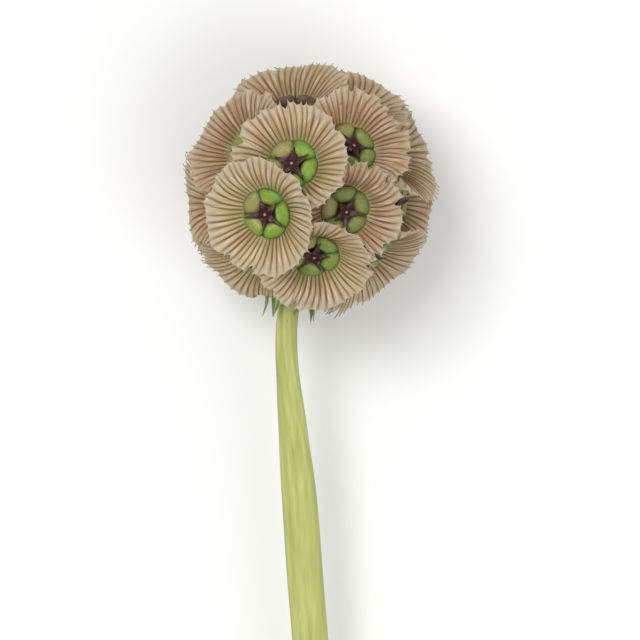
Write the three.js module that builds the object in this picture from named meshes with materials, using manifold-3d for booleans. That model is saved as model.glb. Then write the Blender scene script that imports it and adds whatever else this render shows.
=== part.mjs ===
// A starflower scabiosa seed head on its cut stem, lying down.
// Millimetres, +Z up. The head is at the +Y end and the stem's cut end at the -Y end.
// The head rests on the pod that points straight down, and the stem on its cut end.
import * as THREE from 'three';
import Module from 'manifold-3d';

const wasm = await Module();
wasm.setup();

// Head: where its middle lies, and how many pods it carries.
const HEAD_CENTRE = new THREE.Vector3(-0.1, 129.8, 24.0);
const POD_COUNT = 28;
const POD_SEED = 20260;
const BRACT_SEED = 20267;

// Receptacle in the middle of the head, with the tilts at which its rings lie.
const CORE = {
  radius: 12.2,
  sides: 16,
  tilts: [24, 50, 78, 106, 134, 160],
};

// Papery cup of a pod. Heights are measured along the pod from the middle of the head.
const CUP = {
  floorRadius: 4.95,
  floorHeight: 18.0,
  rimRadius: 12.0,
  rimHeight: 21.7,
  rimNotch: 0.9,
  wall: 0.75,
  pleats: 12,
  pleatDepth: 0.6,
};

// Space in and above a cup, which cuts back the cups that lie under its wall.
const BOWL = { sides: 12, reach: 1.4 };

// Green body of a pod: a tube that widens into a ring of five lobes round a shallow pit.
// A five-armed star stands on a stalk in the pit, with its arms between the lobes.
const BODY = {
  lobes: 5,
  rootRadius: 2.0,
  rootHeight: 10.0,
  waistRadius: 3.3,
  waistHeight: 15.0,
  lobeRadius: 4.55,
  lobeHeight: 17.8,
  crestRadius: 3.5,
  crestHeight: 18.7,
  pitRadius: 1.1,
  pitHeight: 17.8,
  valleyShrink: 0.87,
  valleyDrop: 0.35,
  room: 0.3,
  roomSides: 10,
};
const STAR = {
  height: 19.2,
  thickness: 0.7,
  tipRadius: 3.5,
  tipRise: 0.5,
  notchRadius: 1.3,
};

// Stem: its section is oval and turns along its length. Its points are across and along from the
// middle of the head, and it falls evenly to the surface.
const STEM = {
  topGap: 0.4,
  neckLength: 5,
  sides: 10,
  ribHeight: 0.08,
  rings: 25,
  neckHalfWidth: 2.6,
  neckHalfDepth: 2.1,
  halfWidth: 3.6,
  halfDepth: 2.3,
  endHalfWidth: 3.3,
  endHalfDepth: 2.7,
  neckTurn: 82,
  middleTurn: 4,
  endTurn: -28,
  widenFrom: 0.03,
  widenTo: 0.2,
  endFrom: 0.25,
};
const STEM_FALL = 0.0746;
const STEM_AXIS = new THREE.Vector3(-0.165, -0.983, -STEM_FALL).normalize();
const STEM_POINTS = [
  [-4.6, -27.4],
  [-2.0, -62.0],
  [1.1, -103.0],
  [5.4, -165.0],
  [7.4, -225.0],
  [5.9, -285.0],
];

// Bracts: a collar round the top of the stem, and narrow leaves bent back from it.
const BRACT = {
  count: 7,
  gap: 0.35,
  collarStart: 13.4,
  collarEnd: 16.0,
  collarOuter: 3.9,
  collarTaper: 0.5,
  roomEnds: 15,
  halfWidth: 1.5,
  thickness: 0.9,
  leastThick: 0.6,
  route: [[14.4, 3.3], [17.6, 4.7], [21.0, 4.9], [24.2, 4.7], [27.0, 5.2]],
  widths: [0.75, 1, 0.95, 0.65, 0.25],
  lengthSpread: 0.2,
  turnSpread: 0.4,
  sides: 16,
};

// Directions of the pods that face the viewer, who looks straight down on the head.
// tilt: angle from straight up. bearing: angle round it from +X. arm: where a star's arm points.
// lift: how far the pod stands out of the ball. A pod of higher rank lies over its neighbours.
const SEEN_PODS = [
  { tilt: 29.6, bearing: 209, arm: 110, lift: 1.4, rank: 10 },
  { tilt: 18.3, bearing: 124, arm: 90, lift: 1.1, rank: 9 },
  { tilt: 38.5, bearing: 45, arm: 150, lift: 1.0, rank: 6.5 },
  { tilt: 25.8, bearing: 329, arm: 200, lift: 0.6, rank: 7.2 },
  { tilt: 42.0, bearing: 274, arm: 235, lift: 1.1, rank: 8 },
  { tilt: 71.0, bearing: 235, arm: 130, lift: 0.6, rank: 5.5 },
  { tilt: 73.0, bearing: 310, arm: 330, lift: 0.4, rank: 4.2 },
  { tilt: 60.0, bearing: 102, arm: 250, lift: 0.7, rank: 5.2 },
  { tilt: 71.0, bearing: 350, arm: 0, lift: 0.3, rank: 3.8 },
  { tilt: 50.0, bearing: 148, arm: 163, lift: 0.6, rank: 5.8 },
  { tilt: 68.0, bearing: 65, arm: 40, lift: 0.6, rank: 4.8 },
  { tilt: 69.0, bearing: 26, arm: 70, lift: 0.5, rank: 4.5 },
  { tilt: 72.0, bearing: 190, arm: 80, lift: 0.6, rank: 4.6 },
];
const RESTING_POD = { tilt: 180, bearing: 0, arm: 20, lift: 1.7, rank: 12 };

// The other pods settle between these. The higher ones stand out more, and lie over the lower.
const SETTLE = { starts: 900, steps: 400, reach: 0.02, power: 6, stemRoom: 1.18 };
const LIFTS = [0.1, 1.2];
const RANKS = [0.6, 4.0];
const HEIGHT_SHARE = 0.7;

const COLOURS = {
  stem: 0x9fae5c,
  bracts: 0x7f9444,
  pod_bodies: 0x6e8f36,
  paper_cups: 0xc9b493,
};

const radians = THREE.MathUtils.degToRad;

/** Returns a function that draws repeatable numbers between 0 and 1. */
function makeRandom(seed) {
  let state = seed;
  return () => {
    state = (state * 1664525 + 1013904223) % 4294967296;
    return state / 4294967296;
  };
}

/** Unit vector at an angle from straight up and a bearing from +X. */
function direction(tilt, bearing) {
  const side = Math.sin(radians(tilt));
  return new THREE.Vector3(
    side * Math.cos(radians(bearing)),
    side * Math.sin(radians(bearing)),
    Math.cos(radians(tilt)),
  );
}

/** Even spread of unit vectors over a sphere. */
function spread(count) {
  const turn = Math.PI * (3 - Math.sqrt(5));
  const points = [];
  for (let i = 0; i < count; i += 1) {
    const z = 1 - (2 * (i + 0.5)) / count;
    const side = Math.sqrt(1 - z * z);
    points.push(new THREE.Vector3(side * Math.cos(turn * i), side * Math.sin(turn * i), z));
  }
  return points;
}

/** Places the pods: those that are seen keep their places, and the rest settle between them. */
function placePods() {
  const random = makeRandom(POD_SEED);
  const pods = [...SEEN_PODS, RESTING_POD].map((pod) => ({
    ...pod,
    axis: direction(pod.tilt, pod.bearing),
    fixed: true,
  }));
  const nearness = (point, pod) => point.angleTo(pod.axis);
  const stemNearness = (point) => point.angleTo(STEM_AXIS) / SETTLE.stemRoom;
  const candidates = spread(SETTLE.starts);
  while (pods.length < POD_COUNT) {
    let best = candidates[0];
    let bestRoom = 0;
    for (const point of candidates) {
      const room = Math.min(stemNearness(point), ...pods.map((pod) => nearness(point, pod)));
      if (room > bestRoom) {
        bestRoom = room;
        best = point;
      }
    }
    pods.push({ axis: best.clone(), fixed: false });
  }
  for (let step = 0; step < SETTLE.steps; step += 1) {
    const reach = SETTLE.reach * (1 - step / SETTLE.steps);
    for (const pod of pods) {
      if (pod.fixed) continue;
      const push = new THREE.Vector3();
      for (const other of pods) {
        if (other === pod) continue;
        const away = pod.axis.clone().sub(other.axis);
        push.addScaledVector(away, 1 / away.length() ** SETTLE.power);
      }
      const fromStem = pod.axis.clone().sub(STEM_AXIS);
      push.addScaledVector(fromStem, (SETTLE.stemRoom / fromStem.length()) ** SETTLE.power);
      pod.axis.addScaledVector(push.normalize(), reach).normalize();
    }
  }
  for (const pod of pods) {
    const [turn, chance] = [random(), random()];
    const share = THREE.MathUtils.lerp(chance, (pod.axis.z + 1) / 2, HEIGHT_SHARE);
    pod.arm ??= 360 * turn;
    pod.lift ??= THREE.MathUtils.lerp(...LIFTS, share);
    pod.rank ??= THREE.MathUtils.lerp(...RANKS, share);
  }
  return pods;
}

/** Matrix that turns +Z onto a pod's axis, with +X towards its arm's bearing as seen from above. */
function podMatrix(pod) {
  const ahead = direction(90, pod.arm);
  const along = ahead.dot(pod.axis);
  const right = ahead.addScaledVector(pod.axis, -along).normalize();
  const up = pod.axis.clone().cross(right);
  const place = HEAD_CENTRE.clone().addScaledVector(pod.axis, pod.lift);
  return new THREE.Matrix4().makeBasis(right, up, pod.axis).setPosition(place);
}

/** One ring of points round the Z axis; radius and height are functions of the step's number. */
function ring(sides, radius, height) {
  const points = [];
  for (let i = 0; i < sides; i += 1) {
    const angle = (2 * Math.PI * i) / sides;
    const r = radius(i);
    points.push(new THREE.Vector3(r * Math.cos(angle), r * Math.sin(angle), height(i)));
  }
  return points;
}

/** Faces between rings of points; a band whose number is in flipped has its other diagonal. */
function bandFaces(rows, sides, bands, flipped) {
  const faces = [];
  const at = (row, i) => (row % rows) * sides + (i % sides);
  for (let row = 0; row < bands; row += 1) {
    for (let i = 0; i < sides; i += 1) {
      const [a, b] = [at(row, i), at(row, i + 1)];
      const [c, d] = [at(row + 1, i + 1), at(row + 1, i)];
      if (flipped.includes(row)) faces.push([a, b, d], [b, c, d]);
      else faces.push([a, b, c], [a, c, d]);
    }
  }
  return faces;
}

/** Closed body through rings of points in order, whose last ring meets its first. */
function hoop(rings, flipped = []) {
  const sides = rings[0].length;
  return { points: rings.flat(), faces: bandFaces(rings.length, sides, rings.length, flipped) };
}

/** Closed body through rings of points in order, with a point closing each end. */
function skin(rings, start, end) {
  const sides = rings[0].length;
  const points = [...rings.flat(), start, end];
  const faces = bandFaces(rings.length, sides, rings.length - 1, []);
  const at = (row, i) => row * sides + (i % sides);
  const last = rings.length - 1;
  for (let i = 0; i < sides; i += 1) {
    faces.push([at(0, i + 1), at(0, i), points.length - 2]);
    faces.push([at(last, i), at(last, i + 1), points.length - 1]);
  }
  return { points, faces };
}

/** Turns points and faces into a solid, placed by a matrix. */
function toSolid({ points, faces }, matrix) {
  const placed = points.map((point) => point.clone().applyMatrix4(matrix));
  const mesh = new wasm.Mesh({
    numProp: 3,
    vertProperties: new Float32Array(placed.flatMap((point) => point.toArray())),
    triVerts: new Uint32Array(faces.flat()),
  });
  return new wasm.Manifold(mesh);
}

/** Joins solids into one. */
function join(solids) {
  let parts = [...solids];
  while (parts.length > 1) {
    const next = [];
    for (let i = 0; i < parts.length; i += 2) {
      next.push(i + 1 < parts.length ? parts[i].add(parts[i + 1]) : parts[i]);
    }
    parts = next;
  }
  return parts[0];
}

/** The largest separate body of a solid: loose scraps are dropped. */
function largest(solid) {
  const bodies = solid.decompose();
  return bodies.reduce((best, body) => (body.volume() > best.volume() ? body : best));
}

/** Radius and height of the cup's wall at a fraction of the way from its floor to its rim. */
function cupPoint(t) {
  const { lerp } = THREE.MathUtils;
  return [lerp(CUP.floorRadius, CUP.rimRadius, t), lerp(CUP.floorHeight, CUP.rimHeight, t)];
}

/** Ring of the pleated cup at a fraction of the way to its rim, shifted down by a depth. */
function cupRing(t, down) {
  const [radius, height] = cupPoint(t);
  const side = (i) => (i % 2 === 0 ? 1 : -1);
  const notch = (i) => (side(i) < 0 ? CUP.rimNotch * t : 0);
  const fold = (i) => side(i) * CUP.pleatDepth * t;
  return ring(2 * CUP.pleats, (i) => radius - notch(i), (i) => height + fold(i) - down);
}

/** One cup: a thin pleated funnel with a round hole, split alike on both of its faces. */
function cupShape() {
  const under = [cupRing(0, CUP.wall), cupRing(1, CUP.wall)];
  const over = [cupRing(1, 0), cupRing(0, 0)];
  return hoop([...under, ...over], [under.length]);
}

/** The space in and above a cup, from the middle of its wall outwards. */
function bowlShape() {
  const plain = (t, scale) => {
    const [radius, height] = cupPoint(t);
    return ring(BOWL.sides, () => scale * radius, () => scale * (height - CUP.wall / 2));
  };
  const low = new THREE.Vector3(0, 0, CUP.floorHeight - CUP.wall / 2);
  const high = new THREE.Vector3(0, 0, CUP.rimHeight * BOWL.reach);
  return skin([plain(0, 1), plain(1, 1), plain(1, BOWL.reach)], low, high);
}

/** Whether a step round a pod's body is at an arm of its star, and so between two lobes. */
function atArm(i) {
  return i % 2 === 0;
}

/** Ring of a pod's body, drawn in between its lobes. */
function bodyRing(radius, height, lobed) {
  const valley = (i) => (atArm(i) ? lobed : 0);
  const shrink = (i) => 1 - (1 - BODY.valleyShrink) * valley(i);
  return ring(
    2 * BODY.lobes,
    (i) => radius * shrink(i),
    (i) => height - BODY.valleyDrop * valley(i),
  );
}

/** One pod's body, up from its root, over its lobes, down into its pit and up into its star. */
function bodyShape() {
  const { height, thickness, tipRise, tipRadius, notchRadius } = STAR;
  const armed = (value, other) => (i) => (atArm(i) ? value : other);
  const starRing = (level) => {
    return ring(2 * BODY.lobes, armed(tipRadius, notchRadius), armed(level + tipRise, level));
  };
  const rings = [
    bodyRing(BODY.rootRadius, BODY.rootHeight, 0),
    bodyRing(BODY.waistRadius, BODY.waistHeight, 0),
    bodyRing(BODY.lobeRadius, BODY.lobeHeight, 1),
    bodyRing(BODY.crestRadius, BODY.crestHeight, 1),
    bodyRing(BODY.pitRadius, BODY.pitHeight, 0),
    starRing(height - thickness),
    starRing(height),
  ];
  const low = new THREE.Vector3(0, 0, BODY.rootHeight);
  const high = new THREE.Vector3(0, 0, height);
  return skin(rings, low, high);
}

/** Room that neighbouring cups leave round a pod's body and star. */
function bodyRoomShape() {
  const { rootRadius, waistRadius, lobeRadius, room } = BODY;
  const outline = [
    [rootRadius + room, BODY.rootHeight],
    [waistRadius + room, BODY.waistHeight],
    [lobeRadius + room, BODY.lobeHeight - room],
    [lobeRadius + room, BODY.crestHeight + room],
    [STAR.tipRadius + room, STAR.height + STAR.tipRise + room],
  ];
  const grow = 1 / Math.cos(Math.PI / BODY.roomSides);
  const rings = outline.map(([radius, height]) => {
    return ring(BODY.roomSides, () => radius * grow, () => height);
  });
  const low = new THREE.Vector3(0, 0, outline[0][1]);
  const high = new THREE.Vector3(0, 0, outline.at(-1)[1]);
  return skin(rings, low, high);
}

/** The papery cups: each is cut back where a neighbour of higher rank lies over it. */
function makeCups(pods, matrices, stemRoom) {
  const reach = 2.2 * Math.atan2(CUP.rimRadius, CUP.rimHeight);
  const bowls = matrices.map((matrix) => toSolid(bowlShape(), matrix));
  const rooms = matrices.map((matrix) => toSolid(bodyRoomShape(), matrix));
  const cups = pods.map((pod, i) => {
    let solid = toSolid(cupShape(), matrices[i]);
    pods.forEach((other, j) => {
      if (i === j || pod.axis.angleTo(other.axis) > reach) return;
      if (other.rank > pod.rank) solid = solid.subtract(bowls[j]);
      solid = solid.subtract(rooms[j]);
    });
    return solid;
  });
  return largest(join(cups).subtract(stemRoom));
}

/** The receptacle in the middle of the head, flat where the stem meets it. */
function coreShape() {
  const rings = CORE.tilts.map((tilt) => {
    const side = CORE.radius * Math.sin(radians(tilt));
    return ring(CORE.sides, () => side, () => -CORE.radius * Math.cos(radians(tilt)));
  });
  const low = new THREE.Vector3(0, 0, rings[0][0].z);
  const high = new THREE.Vector3(0, 0, CORE.radius);
  return skin(rings, low, high);
}

/** The green bodies and their stars, grown from the receptacle. */
function makeBodies(matrices) {
  const core = toSolid(coreShape(), axisMatrix(STEM_AXIS.clone().negate(), HEAD_CENTRE));
  return join([core, ...matrices.map((matrix) => toSolid(bodyShape(), matrix))]);
}

/** Matrix that turns +Z onto an axis and moves the origin to a place. */
function axisMatrix(axis, place) {
  const turn = new THREE.Quaternion().setFromUnitVectors(new THREE.Vector3(0, 0, 1), axis);
  return new THREE.Matrix4().compose(place, turn, new THREE.Vector3(1, 1, 1));
}

/** Line of the stem's middle, from under the head to its cut end. */
function stemCurve() {
  const top = CORE.radius + STEM.topGap;
  const start = STEM_AXIS.clone().multiplyScalar(top);
  const neck = STEM_AXIS.clone().multiplyScalar(top + STEM.neckLength);
  const points = STEM_POINTS.map(([x, y]) => new THREE.Vector3(x, y, STEM_FALL * y));
  const route = [start, neck, ...points].map((point) => point.add(HEAD_CENTRE));
  return new THREE.CatmullRomCurve3(route, false, 'centripetal');
}

/** Value along the stem that goes from the neck's to the middle's to the cut end's. */
function alongStem(t, neck, middle, end) {
  const smooth = THREE.MathUtils.smoothstep;
  const upper = THREE.MathUtils.lerp(neck, middle, smooth(t, STEM.widenFrom, STEM.widenTo));
  return THREE.MathUtils.lerp(upper, end, smooth(t, STEM.endFrom, 1));
}

/** The stem: a ribbed oval rod that turns along its length, cut square at its end. */
function makeStem() {
  const curve = stemCurve();
  const rings = [];
  for (let row = 0; row <= STEM.rings; row += 1) {
    const t = row / STEM.rings;
    const middle = curve.getPointAt(t);
    const ahead = curve.getTangentAt(t);
    const across = new THREE.Vector3(0, 0, 1).cross(ahead).normalize();
    const above = ahead.clone().cross(across);
    const halfWidth = alongStem(t, STEM.neckHalfWidth, STEM.halfWidth, STEM.endHalfWidth);
    const halfDepth = alongStem(t, STEM.neckHalfDepth, STEM.halfDepth, STEM.endHalfDepth);
    const turn = radians(alongStem(t, STEM.neckTurn, STEM.middleTurn, STEM.endTurn));
    const points = [];
    for (let i = 0; i < STEM.sides; i += 1) {
      const angle = (2 * Math.PI * i) / STEM.sides;
      const rib = i % 2 === 0 ? 1 : 1 - STEM.ribHeight;
      const x = halfWidth * rib * Math.cos(angle);
      const y = halfDepth * rib * Math.sin(angle);
      const side = x * Math.cos(turn) - y * Math.sin(turn);
      const rise = x * Math.sin(turn) + y * Math.cos(turn);
      points.push(middle.clone().addScaledVector(across, side).addScaledVector(above, rise));
    }
    rings.push(points);
  }
  return toSolid(skin(rings, curve.getPointAt(0), curve.getPointAt(1)), new THREE.Matrix4());
}

/** One bract: a narrow leaf with a low keel, along a route away from the stem. */
function bractShape(scale) {
  const route = BRACT.route.map(([along, out]) => {
    const first = BRACT.route[0][0];
    return new THREE.Vector3(out, 0, first + (along - first) * scale);
  });
  const rings = route.map((middle, i) => {
    const before = route[Math.max(i - 1, 0)];
    const after = route[Math.min(i + 1, route.length - 1)];
    const ahead = after.clone().sub(before).normalize();
    const out = new THREE.Vector3(ahead.z, 0, -ahead.x);
    const half = BRACT.halfWidth * BRACT.widths[i];
    const thick = (BRACT.thickness / 2) * Math.max(BRACT.widths[i], BRACT.leastThick);
    const side = new THREE.Vector3(0, 1, 0);
    return [
      middle.clone().addScaledVector(out, thick),
      middle.clone().addScaledVector(side, half),
      middle.clone().addScaledVector(out, -thick),
      middle.clone().addScaledVector(side, -half),
    ];
  });
  return skin(rings, route[0], route.at(-1));
}

/** The bracts, fused to their collar round the top of the stem. */
function makeBracts(stemRoom) {
  const random = makeRandom(BRACT_SEED);
  const place = axisMatrix(STEM_AXIS, HEAD_CENTRE);
  const narrow = ring(
    BRACT.sides,
    () => BRACT.collarOuter - BRACT.collarTaper,
    () => BRACT.collarStart,
  );
  const wide = ring(BRACT.sides, () => BRACT.collarOuter, () => BRACT.collarEnd);
  const low = new THREE.Vector3(0, 0, BRACT.collarStart);
  const high = new THREE.Vector3(0, 0, BRACT.collarEnd);
  const collar = skin([narrow, wide], low, high);
  const leaves = [];
  for (let i = 0; i < BRACT.count; i += 1) {
    const bearing = (360 * (i + BRACT.turnSpread * random())) / BRACT.count;
    const turn = new THREE.Matrix4().makeRotationZ(radians(bearing));
    const shape = bractShape(1 - BRACT.lengthSpread * random());
    leaves.push(toSolid(shape, place.clone().multiply(turn)));
  }
  return join([toSolid(collar, place), ...leaves]).subtract(stemRoom);
}

/** Room round the stem's axis, from an outline of distance along it and radius. */
function roundRoom(outline) {
  const rings = outline.map(([along, radius]) => ring(BRACT.sides, () => radius, () => along));
  const low = new THREE.Vector3(0, 0, outline[0][0]);
  const high = new THREE.Vector3(0, 0, outline.at(-1)[0]);
  return toSolid(skin(rings, low, high), axisMatrix(STEM_AXIS, HEAD_CENTRE));
}

/** Room that the bracts leave round the stem's neck. */
function neckRoom() {
  const radius = STEM.neckHalfWidth + BRACT.gap;
  const start = BRACT.collarStart - BRACT.roomEnds;
  return roundRoom([[start, radius], [BRACT.route.at(-1)[0] + BRACT.roomEnds, radius]]);
}

/** Room that the cups leave round the whorl of bracts. */
function bractRoom() {
  const outline = BRACT.route.map(([along, out]) => {
    return [along, Math.hypot(out + BRACT.thickness / 2, BRACT.halfWidth) + BRACT.gap];
  });
  return roundRoom([[BRACT.collarStart - 1, BRACT.collarOuter + BRACT.gap], ...outline]);
}

/** Wraps a solid in a named mesh. */
function toMesh(name, solid, roughness) {
  const { vertProperties, triVerts } = solid.getMesh();
  const geometry = new THREE.BufferGeometry();
  geometry.setAttribute('position', new THREE.BufferAttribute(vertProperties, 3));
  geometry.setIndex(new THREE.BufferAttribute(triVerts, 1));
  geometry.computeVertexNormals();
  const material = new THREE.MeshStandardMaterial({ color: COLOURS[name], roughness, metalness: 0 });
  const mesh = new THREE.Mesh(geometry, material);
  mesh.name = name;
  return mesh;
}

const pods = placePods();
const matrices = pods.map(podMatrix);

const group = new THREE.Group();
group.add(toMesh('stem', makeStem(), 0.6));
group.add(toMesh('bracts', makeBracts(neckRoom()), 0.6));
group.add(toMesh('pod_bodies', makeBodies(matrices), 0.5));
group.add(toMesh('paper_cups', makeCups(pods, matrices, bractRoom()), 0.8));

export default group;
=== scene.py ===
"""Looks of one starflower scabiosa seed head on its cut stem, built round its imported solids.

Sizes are in millimetres and become metres where a mesh is finished. +Z is up, +Y runs along the
stem towards the head, and the floor that it lies on is z = 0.
"""

import logging
import math
from dataclasses import dataclass, field
from enum import Enum
from typing import Any, Iterable, Iterator, Sequence

import bmesh
import bpy
import numpy as np
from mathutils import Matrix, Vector


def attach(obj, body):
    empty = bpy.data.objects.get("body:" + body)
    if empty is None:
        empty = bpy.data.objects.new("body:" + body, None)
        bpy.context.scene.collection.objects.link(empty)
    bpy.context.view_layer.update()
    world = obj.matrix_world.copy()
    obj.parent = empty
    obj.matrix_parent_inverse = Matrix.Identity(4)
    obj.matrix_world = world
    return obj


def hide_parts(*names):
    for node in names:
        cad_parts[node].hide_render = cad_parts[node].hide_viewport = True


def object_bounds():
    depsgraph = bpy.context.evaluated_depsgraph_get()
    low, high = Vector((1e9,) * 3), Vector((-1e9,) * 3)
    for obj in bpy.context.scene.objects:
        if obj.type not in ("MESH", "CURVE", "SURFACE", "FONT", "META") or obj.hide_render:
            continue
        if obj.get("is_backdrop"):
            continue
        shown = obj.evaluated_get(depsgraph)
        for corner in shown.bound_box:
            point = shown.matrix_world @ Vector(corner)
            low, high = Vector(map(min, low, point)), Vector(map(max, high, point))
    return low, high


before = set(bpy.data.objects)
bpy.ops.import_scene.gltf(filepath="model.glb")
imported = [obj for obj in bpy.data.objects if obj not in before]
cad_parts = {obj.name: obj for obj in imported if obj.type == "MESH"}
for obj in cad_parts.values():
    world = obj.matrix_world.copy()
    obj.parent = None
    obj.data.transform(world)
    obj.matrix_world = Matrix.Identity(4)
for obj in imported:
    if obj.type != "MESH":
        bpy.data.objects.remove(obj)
cad_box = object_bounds()

LOG = logging.getLogger("scabiosa")
MM = 0.001

Colour = tuple[float, float, float]
Profile = Sequence[tuple[float, float]]
Marked = tuple[np.ndarray, dict[str, np.ndarray]]


class Facing(Enum):
    """Which way the faces of a turned shape look."""

    OUT = "out"
    UP = "up"


class Draws:
    """Repeatable numbers between 0 and 1."""

    FACTOR = 1664525
    STEP = 1013904223
    MODULUS = 4294967296

    def __init__(self, seed: int) -> None:
        """Starts the series from a whole number."""
        self.state = seed

    def next(self) -> float:
        """Returns the next number."""
        self.state = (self.state * self.FACTOR + self.STEP) % self.MODULUS
        return self.state / self.MODULUS

    def between(self, low: float, high: float) -> float:
        """Returns the next number, stretched to lie between two values."""
        return low + (high - low) * self.next()

    def several(self, count: int, low: float, high: float) -> np.ndarray:
        """Returns several numbers that lie between two values."""
        return np.array([self.between(low, high) for _ in range(count)])


def mix(low: Any, high: Any, share: Any) -> Any:
    """Returns the value that lies a share of the way from low to high."""
    return low + (high - low) * share


def smooth(value: Any, start: float, end: float) -> Any:
    """Returns 0 before start and 1 after end, with a soft rise between them."""
    share = np.clip((value - start) / (end - start), 0.0, 1.0)
    return share * share * (3.0 - 2.0 * share)


def soft_lower(first: np.ndarray, second: np.ndarray, blend: float) -> np.ndarray:
    """Returns the lower of two values, rounded off where they differ by less than the blend."""
    near = np.clip(1.0 - np.abs(first - second) / blend, 0.0, 1.0)
    return np.minimum(first, second) - near * near * blend / 4.0


def unit(vector: np.ndarray) -> np.ndarray:
    """Returns a vector with a length of one."""
    return vector / np.linalg.norm(vector)


def direction(tilt: float, bearing: float) -> np.ndarray:
    """Returns the unit vector at an angle from straight up and a bearing from +X, in degrees."""
    up, turn = math.radians(tilt), math.radians(bearing)
    return np.array([math.sin(up) * math.cos(turn), math.sin(up) * math.sin(turn), math.cos(up)])


def turn_onto(axis: np.ndarray) -> np.ndarray:
    """Returns the shortest turn of +Z onto an axis, as a matrix of columns."""
    turn = Vector((0.0, 0.0, 1.0)).rotation_difference(Vector(axis))
    return np.array(turn.to_matrix())


class Form:
    """A mesh that is turned from a profile, with the row and the column of each of its points."""

    ROW = "row"
    WELD = 1e-5

    def __init__(self, profile: Profile, steps: int, facing: Facing) -> None:
        """Turns the profile round the Z axis.

        Args:
            profile: Radius and height of its points in order.
            steps: Number of steps in a full turn.
            facing: Which way its faces look.
        """
        shape = bmesh.new()
        row = shape.verts.layers.float.new(self.ROW)
        points = [shape.verts.new((radius, 0.0, height)) for radius, height in profile]
        for number, point in enumerate(points):
            point[row] = number
        lines = [shape.edges.new(pair) for pair in zip(points, points[1:])]
        bmesh.ops.spin(
            shape,
            geom=points + lines,
            cent=(0.0, 0.0, 0.0),
            axis=(0.0, 0.0, 1.0),
            dvec=(0.0, 0.0, 0.0),
            angle=math.tau,
            steps=steps,
            use_merge=True,
            use_duplicate=False,
        )
        bmesh.ops.remove_doubles(shape, verts=shape.verts, dist=self.WELD)
        bmesh.ops.recalc_face_normals(shape, faces=shape.faces)
        if facing is Facing.UP and sum(face.normal.z for face in shape.faces) < 0.0:
            bmesh.ops.reverse_faces(shape, faces=shape.faces)
        self.mesh = bpy.data.meshes.new("form")
        shape.to_mesh(self.mesh)
        shape.free()
        count = len(self.mesh.vertices)
        places = np.empty(count * 3)
        self.mesh.vertices.foreach_get("co", places)
        self.places = places.reshape(-1, 3)
        rows = np.empty(count)
        self.mesh.attributes[self.ROW].data.foreach_get("value", rows)
        self.rows = np.rint(rows).astype(int)
        angle = np.arctan2(self.places[:, 1], self.places[:, 0]) % math.tau
        self.columns = np.rint(angle / math.tau * steps).astype(int) % steps
        self.radius = np.hypot(self.places[:, 0], self.places[:, 1])
        self.angle = self.columns * math.tau / steps


class Cluster:
    """Copies of forms, gathered in one mesh."""

    HIDDEN = "hidden"
    SPECK = 1e-7

    def __init__(self) -> None:
        """Starts an empty mesh."""
        self.shape = bmesh.new()

    def add(self, form: Form, places: np.ndarray, marks: dict[str, np.ndarray]) -> None:
        """Adds a copy of a form.

        Args:
            form: The form whose faces the copy takes.
            places: Where its points lie, in millimetres.
            marks: Values that its points carry for the finish, the same names in every copy.
        """
        copy = form.mesh.copy()
        copy.attributes.remove(copy.attributes[Form.ROW])
        copy.vertices.foreach_set("co", (places * MM).astype(np.float32).ravel())
        for name, values in marks.items():
            layer = copy.attributes.new(name, "FLOAT", "POINT")
            layer.data.foreach_set("value", np.asarray(values, np.float32))
        self.shape.from_mesh(copy)
        bpy.data.meshes.remove(copy)

    def drop_hidden(self) -> None:
        """Deletes the faces whose points are all marked as hidden, and then the mark."""
        layer = self.shape.verts.layers.float[self.HIDDEN]
        faces = [f for f in self.shape.faces if all(v[layer] > 0.5 for v in f.verts)]
        bmesh.ops.delete(self.shape, geom=faces, context="FACES")
        self.shape.verts.layers.float.remove(layer)

    def piece(
        self, name: str, material: bpy.types.Material, lowest: float = 0.0
    ) -> bpy.types.Object:
        """Makes the object, at the origin and riding on the part's one body.

        Args:
            name: Name of the piece.
            material: Its finish.
            lowest: Height in millimetres that no point of it lies below.

        Returns:
            The object, shaded smooth.
        """
        for point in self.shape.verts:
            point.co.z = max(point.co.z, lowest * MM)
        bmesh.ops.dissolve_degenerate(self.shape, dist=self.SPECK, edges=self.shape.edges)
        mesh = bpy.data.meshes.new(name)
        self.shape.to_mesh(mesh)
        self.shape.free()
        mesh.shade_smooth()
        mesh.materials.append(material)
        piece = bpy.data.objects.new(name, mesh)
        bpy.context.scene.collection.objects.link(piece)
        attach(piece, "root")
        return piece


@dataclass(frozen=True)
class Pod:
    """One pod of the head: a seed body with its star and its papery cup.

    It has an axis out of the head, the bearing of its star's first arm, a lift along its axis, a
    rank among the cups that overlap, how rosy its cup is, how fresh its flesh is, and its cup's
    width.
    """

    axis: np.ndarray
    arm: float
    lift: float
    rank: float
    rosy: float
    fresh: float
    width: float

    @property
    def turn(self) -> np.ndarray:
        """Matrix of the pod's own X, Y and Z as columns: X is where its star's first arm points."""
        ahead = direction(90.0, self.arm)
        right = unit(ahead - ahead.dot(self.axis) * self.axis)
        return np.column_stack([right, np.cross(self.axis, right), self.axis])

    def to_head(self, places: np.ndarray) -> np.ndarray:
        """Returns places of the pod's own frame as places from the middle of the head."""
        return places @ self.turn.T + self.axis * self.lift


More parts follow.
